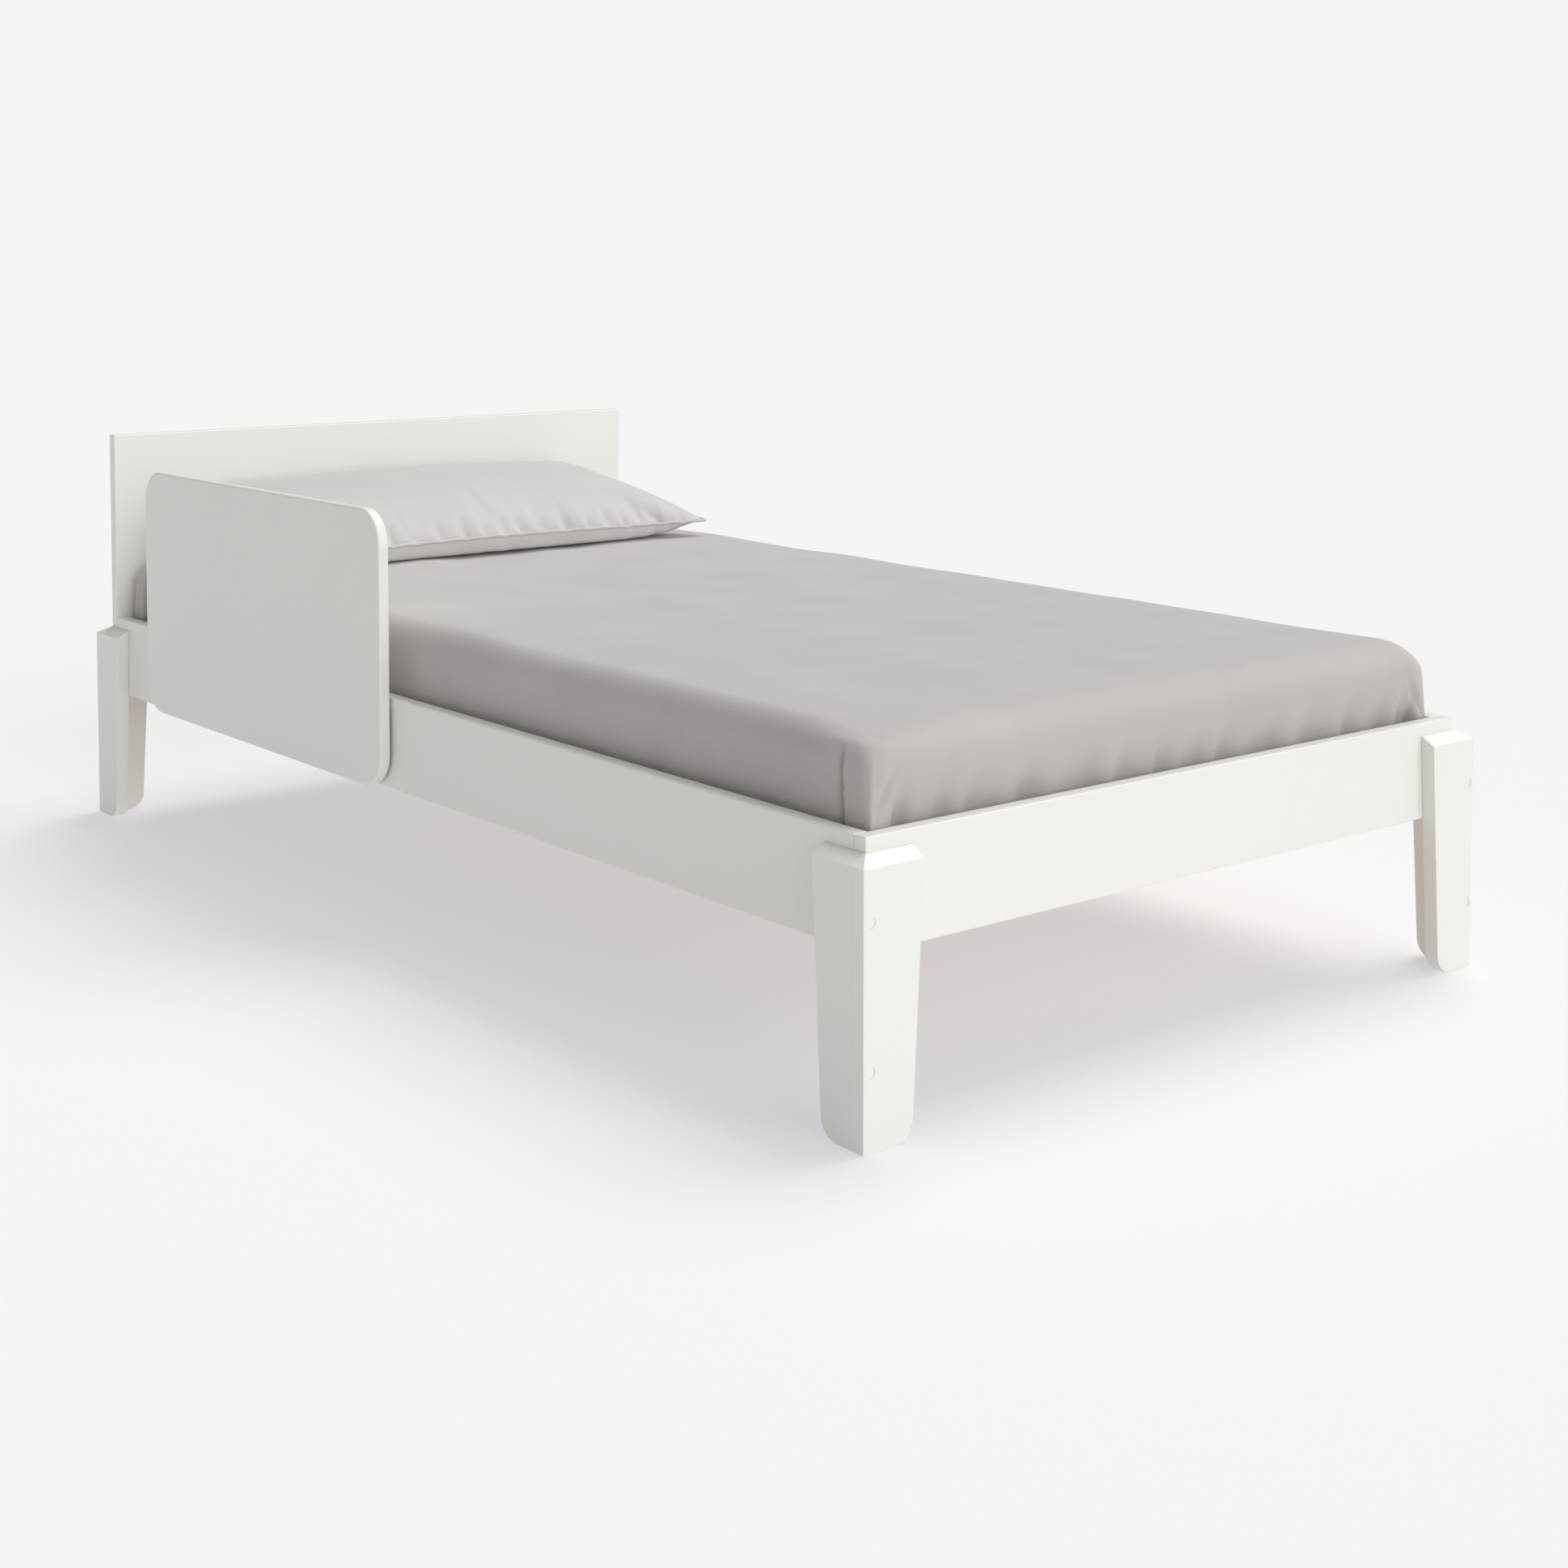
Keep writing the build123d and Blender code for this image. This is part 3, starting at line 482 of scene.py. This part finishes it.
def sheet_surface():
    """The sheet's outer face as rings: crowned top, rounded edges, sides, lower edge and hem.

    Every ring is a rounded rectangle whose corner gets tighter towards the rails. The top gets its
    crown, the sunken corner and the ripples as changes of height. All the rest moves the cloth in
    or out along its outward direction: puckers and two tucks at the ends, fainter puckers along the
    sides, and at each corner a flap that steps down into a slot, a crease and the seam's ridge.
    """
    top_rings, edge_rings, side_rings, hem_rings = SHEET_RINGS
    grow = np.linspace(0, 1, top_rings)
    turn = np.linspace(0, math.pi / 2, edge_rings + 1)[1:]
    part = np.linspace(0, 1, side_rings + 1)[1:]
    hem = np.linspace(0, 1, hem_rings + 1)[1:]
    top_half = SHEET_HALF - EDGE_OVER
    half = [np.concatenate([
        top_half[k] - (1 - grow) * top_half[0], SHEET_HALF[k] - EDGE_OVER[k] * (1 - np.sin(turn)),
        SHEET_HALF[k] + 0 * part, SHEET_HALF[k] - LOWER_EDGE * (1 - np.cos(turn)),
        SHEET_HALF[k] - LOWER_EDGE - (HEM - LOWER_EDGE) * hem]) for k in (0, 1)]
    corner = np.concatenate([grow * CORNER_TOP, CORNER_TOP + (CORNER_MIDDLE - CORNER_TOP) * np.sin(turn) ** 2,
                             CORNER_MIDDLE + (CORNER_LOW - CORNER_MIDDLE) * part,
                             CORNER_LOW + 0 * turn, CORNER_LOW * (1 - 0.3 * hem)])
    x, y, angle = outline(*half, corner, *[cuts(SHEET_HALF[k] - CORNER_LOW, *SIDE_CUTS[k], CORNER_ZONE)
                                           for k in (0, 1)], CORNER_BEND)
    end = np.abs(np.sin(angle)) ** 2
    top = SHEET_HIGH[2] + 0 * x
    drop = EDGE_DROP[0] * (1 - end) + EDGE_DROP[1] * end
    low = SHEET_LOW[2] + LOWER_EDGE
    rows = np.cumsum([len(grow), len(turn), len(part), len(turn)])
    z = top.copy()
    z[rows[0]:rows[1]] -= drop[rows[0]:rows[1]] * (1 - np.cos(turn))[:, None]
    z[rows[1]:rows[2]] = (top - drop)[rows[1]:rows[2]] * (1 - part)[:, None] + low * part[:, None]
    z[rows[2]:rows[3]] = (low - LOWER_EDGE * np.sin(turn))[:, None]
    z[rows[3]:] = SHEET_LOW[2]

    upper = step(z, SHEET_HIGH[2] - TOP_BAND, SHEET_HIGH[2])
    dome = np.clip(1 - (x / SHEET_HALF[0]) ** 4, 0, 1) * np.clip(1 - (y / SHEET_HALF[1]) ** 6, 0, 1)
    z += upper * SHEET_CROWN * dome
    worn = (SHEET_HALF[0] + x) ** 2 + (SHEET_HALF[1] + y) ** 2
    z -= upper * CORNER_SAG * np.exp(-worn / SAG_REACH ** 2)
    z += upper * sum(rise * ripples(x, y / stretch, shortest, longest, seed)
                     for rise, stretch, shortest, longest, seed in TOP_RIPPLES)

    # Puckers: hang is 1 on the part that hangs down, low_down is 1 behind the rail.
    hang = step(-z, -(SHEET_HIGH[2] - TOP_BAND), -RAIL_TOP + 0.012) * \
        step(z, SHEET_LOW[2], SHEET_LOW[2] + LOWER_EDGE)
    low_down = step(-z, -(RAIL_TOP + 0.050), -RAIL_TOP + 0.004) * hang
    at_end, at_side = end ** 6, (1 - end) ** 6
    pitch, drift, slow = END_PUCKERS
    lap = 2 * math.pi * x / pitch + drift * np.sin(2 * math.pi * x / slow) + 0.8
    scallop = 0.5 + 0.33 * np.sin(lap) + 0.17 * np.sin(1.63 * lap + 0.6)
    inside = step(SHEET_HALF[0] - np.abs(x), 0.006, 0.030)
    push = -at_end * inside * (END_PULL * hang * (1 - scallop)
                               + low_down * (BEHIND_RAIL + PUCKER_DEPTH * (1 - scallop) ** 1.5))
    tucked = sum(np.exp(-((x - place) / TUCK_WIDTH) ** 2) for place in TUCKS) * (y < 0)
    push -= TUCK_DEPTH * tucked * at_end * step(-z, -(RAIL_TOP + 0.030), -RAIL_TOP + 0.002) * hang
    pitch, drift, slow = SIDE_PUCKERS
    lap = 2 * math.pi * y / pitch + drift * np.sin(2 * math.pi * y / slow)
    push -= SIDE_PULL * at_side * hang * (0.5 + 0.5 * np.sin(lap)) ** 2

    # Corners: fall is 0 at the top and 1 at the rail, and behind is the distance past the fold.
    fall = np.clip((SHEET_HIGH[2] - 0.006 - z) / (SHEET_HIGH[2] - RAIL_TOP), 0, 1.3)
    from_end = SHEET_HALF[1] - np.abs(y)
    past_fold = from_end - (FOLD_PLACE - FOLD_LEAN * fall)
    behind = np.maximum(past_fold, 0)
    slot = SLOT_DEPTH * np.exp(-behind / SLOT_WIDTH) + DIP_DEPTH * np.exp(-behind / DIP_WIDTH)
    flap = FLAP_LIFT - slot * step(past_fold, -FOLD_EDGE, FOLD_EDGE)
    push -= CORNER_GIVE * np.exp(-worn / GIVE_REACH ** 2) * (1 - step(fall, 0.0, 0.8))
    push += flap * np.exp(-behind / FLAP_REACH) * step(fall, 0.08, 0.28) * \
        step(np.abs(np.cos(angle)), 0.4, 0.8)
    leaning = CREASE_PLACE * np.clip((z - RAIL_TOP) / CREASE_HEIGHT, 0, 1)
    crease = np.abs(SHEET_HALF[0] - np.abs(x) - leaning) / CREASE_WIDTH
    push -= CREASE_DEPTH * at_end * step(fall, 0.25, 0.6) * np.exp(-crease ** 2)
    ridge = np.exp(-((np.abs(np.sin(2 * angle)) - 1) / RIDGE_WIDTH) ** 2)
    push += RIDGE_LIFT * ridge * step(fall, 0.1, 0.4) * step(-fall, -1.25, -1.0)
    grid = np.stack([x + SHEET_SHIFT + push * np.cos(angle), y + push * np.sin(angle), z], axis=-1)
    return skin("fitted_sheet_cloth", grid)


sheet = sheet_surface()
wall = sheet.modifiers.new("cloth", "SOLIDIFY")
wall.thickness = SHEET_THICK
wall.offset = -1.0
sheet.data.materials.append(woven_cotton("grey_percale", ("#bdb8b5", "#b3aeab"), 0.34))
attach(sheet, "mattress")
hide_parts("fitted_sheet")


# ------------------------------------------------------------------ pillow
# A flat filled pillow in a paler cotton case. The case is two rectangles sewn round their edge, so
# when it is filled its corners stay as flat ears and the cloth gathers along the seam. It leans
# back a little against the headboard.

CASE_FLAT = (0.690, 0.350)
CASE_CELLS = (120, 54)
CASE_GAP = 0.012             # half the distance between the two faces before it is filled
CASE_FRAMES = 26
CASE_PRESSURE = 7.0
SEAM_SPAN = (0.650, 0.298)   # over the seam once it is filled
PILLOW_THICK = 0.095
PILLOW_TILT = math.radians(8.0)
PILLOW_MIDDLE = (0.0, 0.5660, 0.3685)
SMOOTHING = 6
SEAM_CALM = 0.85             # share of the seam's ups and downs that is pulled out
SEAM_BOW = 0.008             # how much higher the long seams lie in the middle than at the ears
UNDERSIDE_FULL = 1.5         # the underside's bulge, before the mattress flattens it
UNDERSIDE_DROP = 0.034       # how far it falls from the seam at once, away from the ears
UNDERSIDE_BEND = 0.0045
CHIN = 0.008                 # and how far it swells forward under the front seam
CHIN_STARTS, CHIN_ENDS = 0.003, 0.014
EAR_LENGTH = 0.180
EAR_FULL = 0.4               # share of the underside's fullness that is left in the ears
GATHER_PITCH = 0.031
GATHER_LENGTH = 0.027
GATHER_DEPTH = 0.0120
GATHER_END = 0.05            # length over which the gathers fade out towards the ears
PIPING = 0.0021              # radius of the piping sewn into the seam
PIPING_SIDES = 8
CLEAR = 0.0012               # room between the case and what it lies on
RIPPLE_ROOM = 0.0016         # how high the sheet's ripples stand over its crown
GIVE_BELOW, GIVE_BEHIND = 0.004, 0.003    # how softly it meets the mattress and the headboard
FILLING_SHARE = (0.965, 0.94, 0.90)       # the filling's size, as a share of the case's
FILLING_ROOM = 0.002


def pouch():
    """Two rectangles with one edge, as a grid: x by y, with the faces a little apart inside it."""
    u, v = np.meshgrid(*[np.linspace(-1, 1, n + 1) for n in CASE_CELLS], indexing="ij")
    bulge = CASE_GAP * (1 - u ** 4) * (1 - v ** 4)
    layers = np.stack([np.stack([u * CASE_FLAT[0] / 2, v * CASE_FLAT[1] / 2, side * bulge], axis=-1)
                       for side in (1, -1)])
    index = np.arange(layers[..., 0].size).reshape(layers.shape[:3])
    quads = []
    for layer, order in ((0, 1), (1, -1)):
        i = index[layer]
        face = np.stack([i[:-1, :-1], i[1:, :-1], i[1:, 1:], i[:-1, 1:]], axis=-1).reshape(-1, 4)
        quads.append(face[:, ::order])
    edge = ((np.abs(u) == 1) | (np.abs(v) == 1)).ravel()
    rename = np.arange(layers[..., 0].size)
    rename[u.size:][edge] = np.arange(u.size)[edge]
    kept = np.unique(rename)
    rename = np.searchsorted(kept, rename)
    return layers.reshape(-1, 3)[kept], rename[np.vstack(quads)]


def filled(points, quads):
    """The pouch blown up as cloth, with its own gathers, and put back as plain points."""
    mesh = bpy.data.meshes.new("case_cut")
    mesh.from_pydata(points.tolist(), [], quads.tolist())
    cut = bpy.data.objects.new("case_cut", mesh)
    bpy.context.scene.collection.objects.link(cut)
    cloth = cut.modifiers.new("filling", "CLOTH")
    cloth.settings.quality = 5
    cloth.settings.mass = 0.25
    cloth.settings.tension_stiffness = cloth.settings.compression_stiffness = 12.0
    cloth.settings.shear_stiffness = 4.0
    cloth.settings.bending_stiffness = 0.04
    cloth.settings.air_damping = 3.0
    cloth.settings.use_pressure = True
    cloth.settings.uniform_pressure_force = CASE_PRESSURE
    cloth.settings.effector_weights.gravity = 0.0
    cloth.point_cache.frame_end = CASE_FRAMES
    for moment in range(1, CASE_FRAMES + 1):
        bpy.context.scene.frame_set(moment)
    settled = cut.evaluated_get(bpy.context.evaluated_depsgraph_get())
    blown = np.empty(3 * len(points))
    settled.data.vertices.foreach_get("co", blown)
    bpy.data.objects.remove(cut)
    bpy.context.scene.frame_set(1)
    return blown.reshape(-1, 3)


def dressed(points):
    """The filled case with its long seams drawn straight and the cloth smoothed, as laid by hand.

    Each column of the grid across the pillow is moved so that its two ends lie on the seam, and
    the seam's own ups and downs are mostly taken out, most of all at the seam itself. Away from
    the ears the underside falls from the seam at once, by a drop times 1 - exp(-distance / bend),
    and swells forward in a chin. The upper face is drawn down in gathers along the front seam.
    """
    size = tuple(n + 1 for n in CASE_CELLS)
    layers = np.empty((2, *size, 3))
    layers[0] = points[:size[0] * size[1]].reshape(*size, 3)
    layers[1] = layers[0]
    inner = np.ones(size, bool)
    inner[[0, -1]] = inner[:, [0, -1]] = False
    layers[1][inner] = points[size[0] * size[1]:]
    for _ in range(SMOOTHING):
        around = (layers[:, :-2, 1:-1] + layers[:, 2:, 1:-1] + layers[:, 1:-1, :-2] + layers[:, 1:-1, 2:]) / 4
        layers[:, 1:-1, 1:-1] = (layers[:, 1:-1, 1:-1] + around) / 2
    v = np.linspace(-1, 1, size[1])
    for end, sign in ((0, -1), (-1, 1)):
        near = np.clip(sign * v, 0, 1)
        reach = sign * SEAM_SPAN[1] / 2 - layers[0, :, end, 1]
        rise = SEAM_CALM * layers[0, :, end, 2]
        layers[..., 1] += reach[:, None] * near
        layers[..., 2] -= rise[:, None] * near ** 3
    to_seam = (1 - np.abs(v)) * SEAM_SPAN[1] / 2
    to_ear = step(SEAM_SPAN[0] / 2 - np.abs(layers[1, :, :, 0]), 0.0, EAR_LENGTH)
    from_front = (v + 1) / 2 * SEAM_SPAN[1]
    layers[1, :, :, 1] -= to_ear * CHIN * np.exp(-from_front / CHIN_ENDS) * \
        (1 - np.exp(-from_front / CHIN_STARTS))
    layers[1, :, :, 2] *= UNDERSIDE_FULL * (EAR_FULL + (1 - EAR_FULL) * to_ear)
    layers[1, :, :, 2] -= UNDERSIDE_DROP * (1 - np.exp(-to_seam / UNDERSIDE_BEND)) * to_ear
    layers[..., 2] += SEAM_BOW * (1 - (layers[..., 0] / (SEAM_SPAN[0] / 2)) ** 2)
    x = layers[0, :, :, 0]
    beat = 2 * math.pi * x / GATHER_PITCH + 1.1 * np.sin(2 * math.pi * x / 0.19) + 0.5
    gather = (0.5 + 0.5 * np.sin(beat + 0.6 * np.sin(beat))) ** 3 * (0.75 + 0.25 * np.sin(0.37 * beat))
    length = GATHER_LENGTH * (1 + 0.3 * np.sin(0.61 * beat + 1.0))
    fade = np.exp(-(from_front / length) ** 2) * step(from_front, 0.0, 0.006)
    ends = -SEAM_SPAN[0] / 2
    layers[0, :, :, 2] -= GATHER_DEPTH * gather * fade * step(-np.abs(x), ends, ends + GATHER_END)
    return np.vstack([layers[0].reshape(-1, 3), layers[1][inner]])


def lean(points, lowest, furthest):
    """Tilt the pillow, then press it flat where it meets the mattress and the headboard.

    A soft limit: the distance past the limit becomes width * log(1 + exp(distance / width)).
    """
    x, y, z = points.T
    c, s = math.cos(PILLOW_TILT), math.sin(PILLOW_TILT)
    y, z = PILLOW_MIDDLE[1] + c * y - s * z, PILLOW_MIDDLE[2] + s * y + c * z
    z = lowest + GIVE_BELOW * np.logaddexp(0, (z - lowest) / GIVE_BELOW)
    y = furthest - GIVE_BEHIND * np.logaddexp(0, (furthest - y) / GIVE_BEHIND)
    return np.stack([x + PILLOW_MIDDLE[0], y, z], axis=-1)


case_points, case_quads = pouch()
case_points = filled(case_points, case_quads)
case_points -= (case_points.max(axis=0) + case_points.min(axis=0)) / 2
case_points *= np.array([*SEAM_SPAN, PILLOW_THICK]) / np.ptp(case_points, axis=0)
case_points = dressed(case_points)
filling_points = case_points * np.array(FILLING_SHARE)


def pad(name, points, finish, node):
    """A padded piece from the pouch's faces: placed, smoothed once, and put on the pillow's body in place of
    its CAD node.
    """
    mesh = bpy.data.meshes.new(name)
    mesh.from_pydata(points.tolist(), [], case_quads.tolist())
    mesh.shade_smooth()
    made = bpy.data.objects.new(name, mesh)
    bpy.context.scene.collection.objects.link(made)
    fine = made.modifiers.new("rounding", "SUBSURF")
    fine.levels = fine.render_levels = 1
    mesh.materials.append(finish)
    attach(made, "pillow")
    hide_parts(node)
    return made


def piping(path):
    """A round cord in its cover along a closed path: a circle carried square to the path."""
    along = np.roll(path, -1, axis=0) - np.roll(path, 1, axis=0)
    along /= np.linalg.norm(along, axis=1, keepdims=True)
    across = np.cross(along, (0.0, 0.0, 1.0))
    across /= np.linalg.norm(across, axis=1, keepdims=True)
    above = np.cross(across, along)
    turn = np.linspace(0, 2 * math.pi, PIPING_SIDES + 1)[:-1]
    ring = across[:, None] * np.cos(turn)[:, None] + above[:, None] * np.sin(turn)[:, None]
    grid = path[:, None] + PIPING * ring
    made = skin("pillow_piping", np.concatenate([grid, grid[:1]]))
    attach(made, "pillow")
    return made


mattress_top = SHEET_HIGH[2] + SHEET_CROWN + RIPPLE_ROOM
headboard_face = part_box("headboard")[0][1]
case_points = lean(case_points, mattress_top + CLEAR, headboard_face - CLEAR)
case_cotton = woven_cotton("pale_cotton", ("#cac7c5", "#c1bebc"), 0.12)
case = pad("pillow_case_cloth", case_points, case_cotton, "pillowcase")
case_size = [n + 1 for n in CASE_CELLS]
cells = np.arange(math.prod(case_size)).reshape(case_size)
seam_walk = np.concatenate([cells[:-1, 0], cells[-1, :-1], cells[:0:-1, -1], cells[0, :0:-1]])
rounded = case.evaluated_get(bpy.context.evaluated_depsgraph_get()).data
seam = np.array([rounded.vertices[i].co for i in seam_walk])
piping(seam).data.materials.append(case_cotton)
filling_points = lean(filling_points, mattress_top + 2 * CLEAR + FILLING_ROOM,
                      headboard_face - 2 * CLEAR - FILLING_ROOM)
pad("pillow_filling", filling_points, woven_cotton("white_cambric", ("#ebe9e5", "#e2e0db"), 0.1),
    "pillow_insert")
